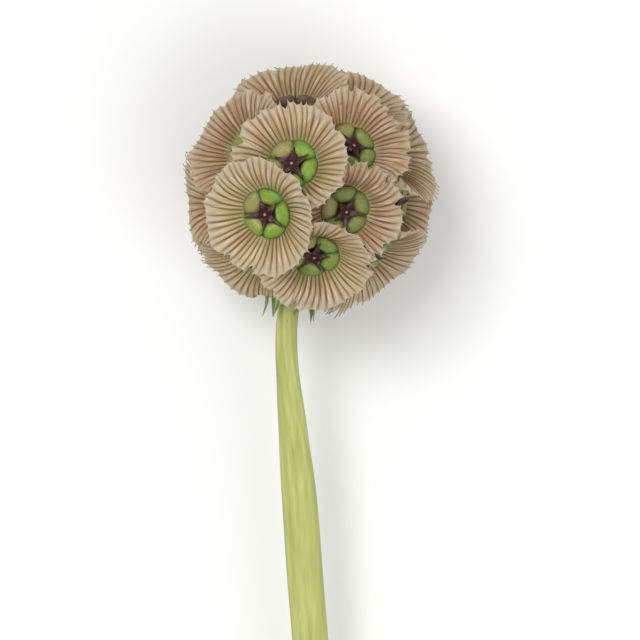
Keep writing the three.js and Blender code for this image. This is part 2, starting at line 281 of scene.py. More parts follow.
@dataclass
class Head:
    """Where the head lies and how its pods are packed on it, as in the part's source."""

    centre: tuple[float, float, float] = (-0.1, 129.8, 24.0)
    pod_count: int = 28
    seed: int = 20260
    stem_axis: tuple[float, float, float] = (-0.165, -0.983, -0.0746)
    stem_room: float = 1.18
    starts: int = 900
    settle_steps: int = 400
    settle_reach: float = 0.02
    settle_power: int = 6
    lifts: tuple[float, float] = (0.1, 1.2)
    ranks: tuple[float, float] = (0.6, 4.0)
    height_share: float = 0.7
    seen: tuple[tuple[float, float, float, float, float], ...] = (
        (29.6, 209.0, 110.0, 1.4, 10.0),
        (18.3, 124.0, 90.0, 1.1, 9.0),
        (38.5, 45.0, 150.0, 1.0, 6.5),
        (25.8, 329.0, 200.0, 0.6, 7.2),
        (42.0, 274.0, 235.0, 1.1, 8.0),
        (71.0, 235.0, 130.0, 0.6, 5.5),
        (73.0, 310.0, 330.0, 0.4, 4.2),
        (60.0, 102.0, 250.0, 0.7, 5.2),
        (71.0, 350.0, 0.0, 0.3, 3.8),
        (50.0, 148.0, 163.0, 0.6, 5.8),
        (68.0, 65.0, 40.0, 0.6, 4.8),
        (69.0, 26.0, 70.0, 0.5, 4.5),
        (72.0, 190.0, 80.0, 0.6, 4.6),
        (180.0, 0.0, 20.0, 1.7, 12.0),
    )
    # The limb cups' low values make them paler: partly their own pale tone, partly painted light
    # shining through them.
    rosy: tuple[float, ...] = (0.1, 0.35, 0.85, 0.9, 0.35, 0.05, 0.4, 0.6, 0.7, 1.0, 0.6, 0.5, 0.5)
    fresh: tuple[float, ...] = (1.0, 0.9, 0.35, 0.25, 0.5, 0.6, 0.3, -0.8, 0.3, 0.4, 0.4, 0.4, 0.5)
    width: tuple[float, ...] = (1.0, 0.98, 0.95, 0.92, 0.95, 0.94, 1.0) + (1.02, 1.02, 1.0) * 2
    look_seed: int = 77
    other_fresh: tuple[float, float] = (0.2, 0.8)
    other_width: tuple[float, float] = (0.96, 1.02)
    stem_way: np.ndarray = field(init=False)
    pods: list[Pod] = field(default_factory=list)

    def __post_init__(self) -> None:
        """Packs the pods."""
        self.stem_way = unit(np.array(self.stem_axis))
        axes = self._settle(self._start())
        draws, looks = Draws(self.seed), Draws(self.look_seed)
        for number, axis in enumerate(axes):
            turn, chance = draws.next(), draws.next()
            share = mix(chance, (axis[2] + 1.0) / 2.0, self.height_share)
            arm, lift, rank = 360.0 * turn, mix(*self.lifts, share), mix(*self.ranks, share)
            if number < len(self.seen):
                arm, lift, rank = self.seen[number][2:]
            rosy, fresh = looks.next(), looks.between(*self.other_fresh)
            width = looks.between(*self.other_width)
            if number < len(self.rosy):
                rosy, fresh, width = self.rosy[number], self.fresh[number], self.width[number]
            self.pods.append(Pod(axis, arm, lift, rank, rosy, fresh, width))

    def _start(self) -> list[np.ndarray]:
        """Returns the seen pods' axes, and the others' where they have the most room."""
        axes = [direction(tilt, bearing) for tilt, bearing, *_ in self.seen]
        number = np.arange(self.starts)
        height = 1.0 - 2.0 * (number + 0.5) / self.starts
        side = np.sqrt(1.0 - height * height)
        turn = math.pi * (3.0 - math.sqrt(5.0)) * number
        spots = np.column_stack([side * np.cos(turn), side * np.sin(turn), height])
        while len(axes) < self.pod_count:
            gaps = np.arccos(np.clip(spots @ np.array(axes).T, -1.0, 1.0)).min(axis=1)
            from_stem = np.arccos(np.clip(spots @ self.stem_way, -1.0, 1.0)) / self.stem_room
            axes.append(spots[int(np.argmax(np.minimum(gaps, from_stem)))])
        return axes

    def _settle(self, axes: list[np.ndarray]) -> list[np.ndarray]:
        """Lets the axes that aren't seen push each other apart.

        Args:
            axes: The pods' axes, the seen ones first.

        Returns:
            The axes after that, the seen ones as they were.
        """
        places = np.array(axes)
        for step in range(self.settle_steps):
            reach = self.settle_reach * (1.0 - step / self.settle_steps)
            for number in range(len(self.seen), len(places)):
                away = places[number] - np.delete(places, number, axis=0)
                length = np.linalg.norm(away, axis=1)[:, None]
                push = (away / length**self.settle_power).sum(axis=0)
                from_stem = places[number] - self.stem_way
                share = self.stem_room / np.linalg.norm(from_stem)
                push = push + from_stem * share**self.settle_power
                places[number] = unit(places[number] + reach * unit(push))
        return list(places)

    def by_rank(self) -> list[Pod]:
        """Returns the pods, those whose cups lie over the others first."""
        return sorted(self.pods, key=lambda pod: -pod.rank)

    def placed(self, places: np.ndarray) -> np.ndarray:
        """Returns places from the middle of the head as places in the part's frame."""
        return places + np.array(self.centre)


class Socket:
    """A socket of a material, on which Python's operators add Math nodes."""

    def __init__(self, sheet: "Sheet", socket: bpy.types.NodeSocket) -> None:
        """Keeps one output of a material's nodes."""
        self.sheet = sheet
        self.socket = socket

    def _math(self, operation: str, *terms: "Socket | float") -> "Socket":
        """Returns the result of a Math node on the terms."""
        return self.sheet.add("ShaderNodeMath", {"operation": operation}, dict(enumerate(terms)))

    def __add__(self, other: "Socket | float") -> "Socket":
        """Adds."""
        return self._math("ADD", self, other)

    def __radd__(self, other: float) -> "Socket":
        """Adds to a number."""
        return self._math("ADD", other, self)

    def __sub__(self, other: "Socket | float") -> "Socket":
        """Subtracts."""
        return self._math("SUBTRACT", self, other)

    def __rsub__(self, other: float) -> "Socket":
        """Subtracts from a number."""
        return self._math("SUBTRACT", other, self)

    def __mul__(self, other: "Socket | float") -> "Socket":
        """Multiplies."""
        return self._math("MULTIPLY", self, other)

    def __rmul__(self, other: float) -> "Socket":
        """Multiplies a number."""
        return self._math("MULTIPLY", other, self)

    def __truediv__(self, other: "Socket | float") -> "Socket":
        """Divides."""
        return self._math("DIVIDE", self, other)

    def step(self, start: float, end: float) -> "Socket":
        """Returns 0 at start and 1 at end, with a soft rise between them."""
        return self.sheet.add(
            "ShaderNodeMapRange",
            {"interpolation_type": "SMOOTHSTEP"},
            {"Value": self, "From Min": start, "From Max": end},
        )


class Sheet:
    """The nodes of one material."""

    def __init__(self, name: str) -> None:
        """Makes an empty material of a name."""
        self.material = bpy.data.materials.new(name)
        self.material.use_nodes = True
        self.tree = self.material.node_tree
        self.tree.nodes.clear()

    def add(
        self,
        kind: str,
        settings: dict[str, Any] | None = None,
        inputs: dict[str | int, Any] | None = None,
        output: str | int = 0,
    ) -> Socket:
        """Adds a node.

        Args:
            kind: The node's type.
            settings: What is set on the node itself; "stops" are a ramp's places and colours.
            inputs: Value or link of each of its sockets, by name or number.
            output: The socket that is returned.

        Returns:
            The node's output.
        """
        node = self.tree.nodes.new(kind)
        for name, value in (settings or {}).items():
            if name == "stops":
                self._set_stops(node.color_ramp, value)
            else:
                setattr(node, name, value)
        for name, value in (inputs or {}).items():
            if isinstance(value, Socket):
                self.tree.links.new(value.socket, node.inputs[name])
            elif isinstance(value, tuple) and len(node.inputs[name].default_value) == 4:
                node.inputs[name].default_value = (*value, 1.0)
            else:
                node.inputs[name].default_value = value
        return Socket(self, node.outputs[output])

    @staticmethod
    def _set_stops(ramp: bpy.types.ColorRamp, stops: Sequence[tuple[float, Colour]]) -> None:
        """Gives a ramp its stops."""
        while len(ramp.elements) < len(stops):
            ramp.elements.new(1.0)
        for element, (place, colour) in zip(ramp.elements, stops):
            element.position = place
            element.color = (*colour, 1.0)

    def mark(self, name: str) -> Socket:
        """Returns the value that the mesh's points carry under a name."""
        return self.add("ShaderNodeAttribute", {"attribute_name": name}, output="Fac")

    def ramp(self, share: Socket, *stops: tuple[float, Colour]) -> Socket:
        """Returns the colour at a share of the way through stops."""
        return self.add("ShaderNodeValToRGB", {"stops": stops}, {"Fac": share}, "Color")

    def blend(self, share: Socket, low: "Socket | Colour", high: "Socket | Colour") -> Socket:
        """Returns a colour that lies a share of the way from low to high."""
        return self.add("ShaderNodeMix", {"data_type": "RGBA"}, {0: share, 6: low, 7: high}, 2)

    def coats(self, colour: Socket, *coats: "tuple[Socket, Socket | Colour]") -> Socket:
        """Covers a colour with others.

        Args:
            colour: The colour that lies lowest.
            coats: How much each of the others covers, and its colour, in order.

        Returns:
            The colour after the last of them.
        """
        for share, coat in coats:
            colour = self.blend(share, colour, coat)
        return colour

    def noise(self, grain: float, detail: float = 2.0, stretch: Colour = (1.0, 1.0, 1.0)) -> Socket:
        """Returns a cloudy pattern fixed to the piece.

        Args:
            grain: Size of its patches in millimetres.
            detail: Number of finer layers in it.
            stretch: How much finer it is along each axis.

        Returns:
            A value round 0.5.
        """
        place = self.add("ShaderNodeTexCoord", output="Object")
        place = self.add("ShaderNodeMapping", {}, {"Vector": place, "Scale": stretch})
        inputs = {"Vector": place, "Scale": 1.0 / (grain * MM), "Detail": detail}
        return self.add("ShaderNodeTexNoise", {}, inputs)

    def bump(self, height: Socket, depth: float, strength: float = 1.0) -> Socket:
        """Returns the normal of a relief whose depth is in millimetres."""
        inputs = {"Height": height, "Distance": depth * MM, "Strength": strength}
        return self.add("ShaderNodeBump", {}, inputs)

    def skin(
        self,
        colour: "Socket | Colour",
        roughness: float,
        normal: Socket | None = None,
        specular: float = 0.5,
    ) -> Socket:
        """Makes a surface that isn't see-through.

        Args:
            colour: Its colour.
            roughness: How matte it is.
            normal: Its relief, if it has one.
            specular: How strongly it mirrors.

        Returns:
            The surface.
        """
        inputs = {"Base Color": colour, "Roughness": roughness, "Specular IOR Level": specular}
        if normal is not None:
            inputs["Normal"] = normal
        return self.add("ShaderNodeBsdfPrincipled", {}, inputs)

    def finish(self, surface: Socket) -> bpy.types.Material:
        """Returns the material with its surface connected."""
        end = self.tree.nodes.new("ShaderNodeOutputMaterial")
        self.tree.links.new(surface.socket, end.inputs["Surface"])
        return self.material


@dataclass(frozen=True)
class DryPaper:
    """Papery membrane with dark ribs, olive at the throat and pale at the rim, its edge whitened by
    bleaching and painted backlight.
    """

    throat: Colour = (0.33, 0.34, 0.11)
    pale_inner: Colour = (0.44, 0.355, 0.13)
    pale_middle: Colour = (0.55, 0.425, 0.22)
    pale_rim: Colour = (0.74, 0.66, 0.50)
    rosy_inner: Colour = (0.30, 0.18, 0.085)
    rosy_middle: Colour = (0.46, 0.275, 0.155)
    rosy_rim: Colour = (0.68, 0.54, 0.38)
    scorched: Colour = (0.45, 0.23, 0.075)
    strand: Colour = (0.87, 0.795, 0.62)
    rib_dark: Colour = (0.170, 0.090, 0.036)
    rib_pale: Colour = (0.29, 0.17, 0.080)
    wire: Colour = (0.085, 0.037, 0.016)
    lit_through: Colour = (0.93, 0.87, 0.74)
    roughness: float = 0.75
    glow: float = 0.15
    rim_glow: float = 0.55

    def make(self) -> bpy.types.Material:
        """Returns the material, which reads the marks rosy, out, rib, east and north."""
        sheet = Sheet("dry_paper")
        rosy, out, rib = sheet.mark("rosy"), sheet.mark("out"), sheet.mark("rib")
        fibre = self._streaks(sheet, 19.0, 1.6)
        each = self._streaks(sheet, 13.0, 0.6)
        sector = self._streaks(sheet, 1.3, 0.9)
        strand = self._streaks(sheet, 46.0, 1.2)
        cloud = sheet.noise(4.0, 3.0)
        fine = sheet.noise(0.5, 2.0)
        place = out + (cloud - 0.5) * 0.35 + (sector - 0.5) * 0.5
        pale = (0.24, self.pale_inner), (0.55, self.pale_middle), (1.0, self.pale_rim)
        pale = sheet.ramp(place, (0.0, self.throat), *pale)
        brown = (0.20, self.rosy_inner), (0.60, self.rosy_middle), (1.0, self.rosy_rim)
        brown = sheet.ramp(place, (0.0, self.throat), *brown)
        share = (rosy * 0.8 + sector * 1.2 - 0.5).step(0.1, 0.9)
        flank = 1.0 - rib.step(0.15, 0.85)
        # Whitens the rim's edge: partly the membrane's own bleaching, partly painted light shining
        # through the thin rim.
        bleach_and_painted_backlight = (out + (fibre - 0.5) * 0.3).step(0.80, 1.0)
        freckle = sheet.noise(0.8, 2.0).step(0.66, 0.74)
        dried = sheet.noise(8.0, 3.0).step(0.56, 0.68) * (1.0 - out * 0.4)
        paper = sheet.coats(
            sheet.blend(share, pale, brown),
            (flank * (0.2 + sector * 0.5), self.rosy_inner),
            (fibre.step(0.45, 0.75) * 0.5, self.rosy_inner),
            (strand.step(0.48, 0.68) * (0.35 + out * 0.45), self.strand),
            # Painted light through the rim's edge, with some real bleaching, in the pale strand
            # colour.
            (bleach_and_painted_backlight * 0.55, self.strand),
            (freckle * (0.25 + rosy * 0.5), self.rib_dark),
            (dried * (0.2 + rosy * 0.5), self.scorched),
        )
        width = (0.50 - out * 0.22) * (0.35 + each * 1.3)
        core = 1.0 - (rib / width).step(0.25, 1.0)
        wire = 1.0 - (rib / (width * 0.5)).step(0.2, 1.0)
        strength = (1.0 - out.step(0.55, 1.05) * 0.40) * (0.15 + each * 0.95 + fibre * 0.3)
        strength = strength * (out + (sector - 0.5) * 0.3).step(0.0, 0.12)
        colour = sheet.coats(
            paper,
            (core * strength, sheet.blend(out.step(0.35, 1.0), self.rib_dark, self.rib_pale)),
            (wire * strength * (0.75 - out * 0.35), self.wire),
        )
        relief = core * 0.6 + wire * 0.5 + fibre * 0.5 + strand * 0.3 + fine * 0.3
        skin = sheet.skin(colour, self.roughness, sheet.bump(relief, 0.16, 0.7))
        through = sheet.add("ShaderNodeBsdfTranslucent", {}, {"Color": self.lit_through})
        share = (1.0 - core) * (self.glow + out.step(0.5, 1.0) * self.rim_glow)
        return sheet.finish(sheet.add("ShaderNodeMixShader", {}, {0: share, 1: skin, 2: through}))

    @staticmethod
    def _streaks(sheet: Sheet, across: float, along: float) -> Socket:
        """Returns a pattern of streaks that run from a cup's throat to its rim.

        Args:
            sheet: The material's nodes.
            across: How fine they are round the cup.
            along: How often they change on the way out.

        Returns:
            A value round 0.5.
        """
        east, north = sheet.mark("east"), sheet.mark("north")
        up = sheet.mark("out") * along + sheet.mark("rosy") * 40.0
        place = sheet.add("ShaderNodeCombineXYZ", {}, {0: east * across, 1: north * across, 2: up})
        return sheet.add("ShaderNodeTexNoise", {}, {"Vector": place, "Scale": 1.0, "Detail": 2.0})


@dataclass(frozen=True)
class PodFlesh:
    """Fresh green lobes, olive where they dry, on a brownish tube, with painted shade in their
    creases and painted highlights.
    """

    crease_shade_dark_green: Colour = (0.050, 0.058, 0.012)
    flank: Colour = (0.095, 0.160, 0.020)
    crest: Colour = (0.175, 0.300, 0.032)
    painted_highlight: Colour = (0.42, 0.48, 0.10)
    dull_flank: Colour = (0.075, 0.090, 0.024)
    dull_crest: Colour = (0.175, 0.19, 0.055)
    dried: Colour = (0.31, 0.25, 0.095)
    withered: Colour = (0.115, 0.062, 0.028)
    tube: Colour = (0.16, 0.14, 0.05)
    roughness: float = 0.42
    specular: float = 0.35

    def make(self) -> bpy.types.Material:
        """Returns the material, which reads the marks lobe, inner, dry, body and fresh."""
        sheet = Sheet("pod_flesh")
        lobe, dry = sheet.mark("lobe"), sheet.mark("dry")
        body, fresh = sheet.mark("body"), sheet.mark("fresh")
        cloud = sheet.noise(1.6, 3.0)
        fine = sheet.noise(0.3, 3.0)
        share = lobe + (cloud - 0.5) * 0.6
        # Both ramps darken down into the creases between the lobes: painted crease shade.
        green = sheet.ramp(share, (0.0, self.crease_shade_dark_green), (0.45, self.flank), (1.0, self.crest))
        dull = sheet.ramp(share, (0.0, self.crease_shade_dark_green), (0.5, self.dull_flank), (1.0, self.dull_crest))
        freshness = (fresh + (cloud - 0.5) * 0.4).step(0.1, 0.9)
        # Painted highlight that lightens the fresh lobes towards the star.
        glow = (sheet.mark("inner") + (cloud - 0.5) * 0.8).step(0.3, 1.0) * fresh * 0.7
        colour = sheet.coats(
            sheet.blend(freshness, dull, green),
            (glow * lobe, self.painted_highlight),
            (dry, self.dried),
            ((0.0 - fresh).step(0.0, 0.5), self.withered),
            (body, self.tube),
            # Fine dark green mottling, the flesh's own.
            (fine.step(0.45, 0.75) * 0.35, self.crease_shade_dark_green),
            # Scattered spots of painted highlight on the lobes.
            (sheet.noise(0.7, 2.0).step(0.62, 0.72) * 0.35 * lobe, self.painted_highlight),
        )
        normal = sheet.bump(fine + cloud, 0.12, 0.6)
        return sheet.finish(sheet.skin(colour, self.roughness, normal, self.specular))


@dataclass(frozen=True)
class StarSkin:
    """Dark maroon star with greyer arms, patches of painted mauve sheen and a pale spot in its
    middle.
    """

    maroon: Colour = (0.036, 0.006, 0.007)
    arm: Colour = (0.058, 0.026, 0.024)
    tip: Colour = (0.14, 0.11, 0.075)
    mauve_painted_sheen: Colour = (0.15, 0.11, 0.12)
    spot: Colour = (0.42, 0.25, 0.20)
    roughness: float = 0.45
    specular: float = 0.16

    def make(self) -> bpy.types.Material:
        """Returns the material, which reads the marks reach and keel."""
        sheet = Sheet("star_skin")
        reach, keel = sheet.mark("reach"), sheet.mark("keel")
        fine = sheet.noise(0.5, 3.0)
        share = reach + (fine - 0.5) * 0.3
        colour = sheet.coats(
            sheet.ramp(share, (0.28, self.maroon), (0.5, self.arm), (0.8, self.tip)),
            # Patches of painted mauve sheen on the arms, standing in for the star's glossy
            # highlights.
            (sheet.noise(1.1, 3.0).step(0.52, 0.68) * reach.step(0.16, 0.34) * 0.75, self.mauve_painted_sheen),
            (keel * 0.2, self.tip),
            (1.0 - reach.step(0.04, 0.08), self.spot),
        )
        normal = sheet.bump(fine, 0.10, 0.8)
        return sheet.finish(sheet.skin(colour, self.roughness, normal, self.specular))


@dataclass(frozen=True)
class StalkSkin:
    """Waxy pale green stalk with fine lengthwise streaks, and the pale pith of its cut."""

    pale: Colour = (0.475, 0.51, 0.165)
    green: Colour = (0.365, 0.405, 0.102)
    shade: Colour = (0.255, 0.29, 0.062)
    scar: Colour = (0.26, 0.17, 0.07)
    pith: Colour = (0.66, 0.66, 0.42)
    marrow: Colour = (0.42, 0.40, 0.20)
    roughness: float = 0.42

    def make(self) -> bpy.types.Material:
        """Returns the material, which reads the marks ridge, pith and core."""
        sheet = Sheet("stalk_skin")
        ridge, pith = sheet.mark("ridge"), sheet.mark("pith")
        streak = sheet.noise(1.0, 3.0, (1.0, 0.05, 1.0))
        cloud = sheet.noise(14.0, 2.0, (1.0, 0.5, 1.0))
        fibre = sheet.noise(0.3, 3.0, (1.0, 0.04, 1.0))
        share = ridge * 0.12 + streak * 0.8 + (cloud - 0.5) * 0.5 + (fibre - 0.5) * 0.4
        speck = sheet.noise(1.4, 2.0, (1.0, 0.5, 1.0)).step(0.70, 0.78)
        grain = sheet.noise(0.35, 3.0)
        marrow = sheet.blend(sheet.mark("core").step(0.2, 0.9), self.pith, self.marrow)
        colour = sheet.coats(
            sheet.ramp(share, (0.1, self.shade), (0.42, self.green), (0.75, self.pale)),
            (speck * 0.6, self.scar),
            (pith, sheet.blend(grain.step(0.45, 0.65) * 0.4, marrow, self.shade)),
        )
        normal = sheet.bump(streak + fibre * 0.5 + pith * grain * 2.0, 0.12, 0.5)
        return sheet.finish(sheet.skin(colour, self.roughness, normal))


@dataclass(frozen=True)
class LeafSkin:
    """Dull green bract, browned at its tip, with a paler midrib."""

    green: Colour = (0.17, 0.30, 0.055)
    dark: Colour = (0.085, 0.16, 0.030)
    tip: Colour = (0.22, 0.19, 0.06)
    rib: Colour = (0.36, 0.42, 0.15)
    roughness: float = 0.58

    def make(self) -> bpy.types.Material:
        """Returns the material, which reads the marks along and midrib."""
        sheet = Sheet("leaf_skin")
        along, midrib = sheet.mark("along"), sheet.mark("midrib")
        cloud = sheet.noise(2.2, 3.0)
        fine = sheet.noise(0.4, 2.0)
        colour = sheet.coats(
            sheet.blend(cloud.step(0.35, 0.65), self.dark, self.green),
            (midrib * 0.7, self.rib),
            ((along + (cloud - 0.5) * 0.4).step(0.72, 1.0) * 0.85, self.tip),
        )
        return sheet.finish(sheet.skin(colour, self.roughness, sheet.bump(fine, 0.08, 0.6)))


@dataclass
class PaperCups:
    """The papery cups: each passes under the rims of its neighbours of higher rank.

    A pleat has four columns: its rib, a flank, the middle between two ribs and the other flank.
    """

    head: Head
    floor_radius: float = 4.95
    floor_height: float = 18.0
    inner_radius: float = 4.55
    inner_height: float = 17.75
    rim_radius: float = 12.0
    rim_height: float = 21.7
    flare: float = 0.7
    ribs: int = 46
    columns_per_rib: int = 4
    rings: int = 9
    feet: tuple[float, float] = (0.22, 0.06)
    rib_height: float = 0.2
    crest: tuple[float, float, float, float] = (1.0, 0.15, 0.0, 0.15)
    pleat: float = 0.2
    sag: tuple[float, float, float, float] = (0.0, 0.3, 1.0, 0.3)
    relief_from: float = 0.12
    relief_fade: float = 0.4
    bristle: tuple[float, float] = (0.25, 1.0)
    notch: tuple[float, float] = (0.05, 0.5)
    ragged: float = 0.22
    ragged_waves: tuple[float, float, float] = (4.0, 9.0, 15.0)
    tear: float = 0.24
    tear_shape: tuple[float, float, float, float] = (0.0, 0.5, 1.0, 0.5)
    torn: tuple[float, float] = (0.86, 1.0)
    wander: float = 0.22
    swirl: float = 0.14
    waves: tuple[tuple[float, float, int], ...] = ((0.3, 2.0, 2), (0.21, 3.0, 2), (0.21, 7.0, 3))
    layer_gap: float = 0.5
    dive: float = 0.9
    blend: float = 0.8
    table_steps: int = 24
    throat_angle: float = 13.0
    stem_room: Profile = ((12.0, 0.0), (14.4, 4.4), (17.6, 5.7), (27.0, 6.2), (34.0, 4.6))
    stem_reach: tuple[float, float] = (22.0, 34.0)
    stem_sides: tuple[float, float] = (6.0, 13.0)
    thickness: float = 0.1
    seed: int = 4711
    finish: DryPaper = DryPaper()

    def profile(self, share: Any, width: float = 1.0) -> tuple[Any, Any]:
        """Returns the radius and height of a cup's wall at a share of the way to its rim."""
        radius = mix(self.floor_radius, self.rim_radius * width, share)
        rise = share * (1.0 + self.flare * (1.0 - share))
        return radius, mix(self.floor_height, self.rim_height, rise)

    def _form(self) -> Form:
        """Returns the membrane's form, whose rows run from the throat to the bristles."""
        shares = [row / self.rings for row in range(self.rings + 2)]
        rows = [(self.inner_radius, self.inner_height), *(self.profile(share) for share in shares)]
        return Form(rows, self.columns_per_rib * self.ribs, Facing.UP)

    def ceiling(self, ways: np.ndarray, above: list[Pod]) -> np.ndarray:
        """Returns how far from the middle of the head a membrane may stand under others.

        Args:
            ways: Unit vectors from the middle of the head.
            above: The pods whose cups lie over it, highest first.

        Returns:
            A distance for each of the ways.
        """
        surfaces: list[np.ndarray] = []
        lowest = np.full(len(ways), np.inf)
        for pod in above:
            radius, height = self.profile(np.linspace(0.0, 1.0, self.table_steps), pod.width)
            table_angle = np.arctan2(radius, height + pod.lift)
            table_distance = np.hypot(radius, height + pod.lift)
            angle = np.arccos(np.clip(ways @ pod.axis, -1.0, 1.0))
            beyond = np.maximum(angle - table_angle[-1], 0.0) * table_distance[-1]
            surface = np.interp(angle, table_angle, table_distance) + self.dive * beyond
            for higher in surfaces:
                surface = np.minimum(surface, higher - self.layer_gap)
            surfaces.append(surface)
            lowest = np.minimum(lowest, surface - self.layer_gap)
        return lowest

    def tuck(self, places: np.ndarray, above: list[Pod]) -> np.ndarray:
        """Pushes places towards the middle of the head until they pass under the cups above.

        Args:
            places: Places from the middle of the head.
            above: The pods whose cups lie over them, highest first.

        Returns:
            The places after the push.
        """
        if not above:
            return places
        distance = np.linalg.norm(places, axis=1)
        ways = places / distance[:, None]
        kept = soft_lower(distance, self.ceiling(ways, above), self.blend)
        return ways * kept[:, None]

    def clear_stem(self, places: np.ndarray) -> np.ndarray:
        """Pushes places aside and back, out of the room that the bracts take round the stem.

        Args:
            places: Places from the middle of the head.

        Returns:
            The places after the push.
        """
        axis = self.head.stem_way
        along = places @ axis
        aside = places - along[:, None] * axis
        distance = np.linalg.norm(aside, axis=1)
        heights, radii = zip(*self.stem_room)
        kept = -soft_lower(-distance, -np.interp(along, heights, radii), self.blend)
        reach = mix(*self.stem_reach, smooth(distance, *self.stem_sides))
        back = soft_lower(along, reach, self.blend)
        pushed = back[:, None] * axis + aside * (kept / np.maximum(distance, 0.01))[:, None]
        return np.where((along > heights[0])[:, None], pushed, places)

    def fill(self, form: Form, shapes: Iterable[Marked]) -> Cluster:
        """Puts one shape in every pod, tucked under the cups that lie over it.

        Args:
            form: The form of all the shapes.
            shapes: Each shape's points in its pod's frame and their marks, in the order of rank.

        Returns:
            The shapes, where they lie in the head.
        """
        cluster = Cluster()
        order = self.head.by_rank()
        for number, (pod, (places, marks)) in enumerate(zip(order, shapes)):
            places = self.tuck(pod.to_head(places), order[:number])
            cluster.add(form, self.head.placed(places), marks)
        return cluster

    def _membrane(self, form: Form, pod: Pod, draws: Draws) -> Marked:
        """Shapes one cup.

        Args:
            form: The membrane's form.
            pod: The cup's pod.
            draws: Where its chances come from.

        Returns:
            Its points in its pod's frame, and their marks.
        """
        rib, part = np.divmod(form.columns, self.columns_per_rib)
        edge, fringe = form.rows == self.rings + 1, form.rows == self.rings + 2
        share = np.clip((form.rows - 1) / self.rings, 0.0, 1.0)
        tear = self.tear * smooth(draws.several(self.ribs, 0.0, 1.0), *self.torn)[rib]
        share = share * (1.0 - tear * np.array(self.tear_shape)[part])
        foot = mix(*self.feet, smooth(share, 0.0, 1.0))
        phase = np.choose(part, [0.0, foot, 0.5, 1.0 - foot])
        from_rib = np.choose(part, [0.0, 2.0 * foot, 1.0, 2.0 * foot])
        sway = draws.several(self.ribs + 1, -self.wander, self.wander)
        sway[-1] = sway[0]
        shift = mix(sway[rib], sway[rib + 1], phase) * share
        angle = (rib + phase + shift) * math.tau / self.ribs
        bow = draws.between(-self.swirl, self.swirl)
        angle = angle + (bow + 0.5 * self.swirl * np.sin(3.0 * angle + bow * 40.0)) * share**2
        radius, height = self.profile(share, pod.width)
        radius = np.where(form.rows == 0, self.inner_radius, radius)
        height = np.where(form.rows == 0, self.inner_height, height)
        relief = self.rib_height * np.array(self.crest) - self.pleat * np.array(self.sag)
        fade = smooth(share, 0.0, self.relief_from) * (1.0 - self.relief_fade * share)
        height = height + relief[part] * fade
        starts = draws.several(3, 0.0, math.tau)
        for (depth, count, power), start in zip(self.waves, starts):
            height = height + depth * np.sin(count * angle + start) * share**power
        ragged_waves = zip(self.ragged_waves, np.roll(starts, 1))
        ragged = sum(np.sin(count * angle + start) for count, start in ragged_waves)
        radius = radius + self.ragged * ragged * share**4
        notch = draws.several(self.ribs, *self.notch)[rib]
        bristle = draws.several(self.ribs, *self.bristle)[rib]
        side = -0.2 * notch
        radius = radius + edge * np.choose(part, [0.06, side, -notch, side])
        tips = [bristle, 0.05 + side, 0.03 - notch, 0.05 + side]
        radius = radius + fringe * np.choose(part, tips)
        places = np.column_stack([radius * np.cos(angle), radius * np.sin(angle), height])
        marks = {"rosy": np.full(len(radius), pod.rosy), "out": share + 0.1 * fringe}
        return places, {**marks, "rib": from_rib, "east": np.cos(angle), "north": np.sin(angle)}

    def _hidden(self, places: np.ndarray, above: list[Pod]) -> np.ndarray:
        """Returns 1 for places that lie behind the pods above in the head, and 0 for others."""
        ways = places / np.linalg.norm(places, axis=1)[:, None]
        limit = math.cos(math.radians(self.throat_angle))
        behind = [ways @ pod.axis > limit for pod in above]
        return np.any(behind, axis=0).astype(float) if above else np.zeros(len(places))

    def build(self) -> list[bpy.types.Object]:
        """Returns the cups of the head's upper and lower half as two pieces."""
        form = self._form()
        halves = {"papery_cups_above": Cluster(), "papery_cups_below": Cluster()}
        order = self.head.by_rank()
        draws = Draws(self.seed)
        for number, pod in enumerate(order):
            places, marks = self._membrane(form, pod, draws)
            above = order[:number]
            places = self.clear_stem(self.tuck(pod.to_head(places), above))
            marks[Cluster.HIDDEN] = self._hidden(places, above)
            half = "papery_cups_above" if pod.axis[2] > 0.0 else "papery_cups_below"
            halves[half].add(form, self.head.placed(places), marks)
        material = self.finish.make()
        pieces = []
        for name, cluster in halves.items():
            cluster.drop_hidden()
            piece = cluster.piece(name, material, self.thickness / 2.0)
            wall = piece.modifiers.new("wall", "SOLIDIFY")
            wall.thickness = self.thickness * MM
            wall.offset = 0.0
            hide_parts("paper_cups")
            pieces.append(piece)
        return pieces


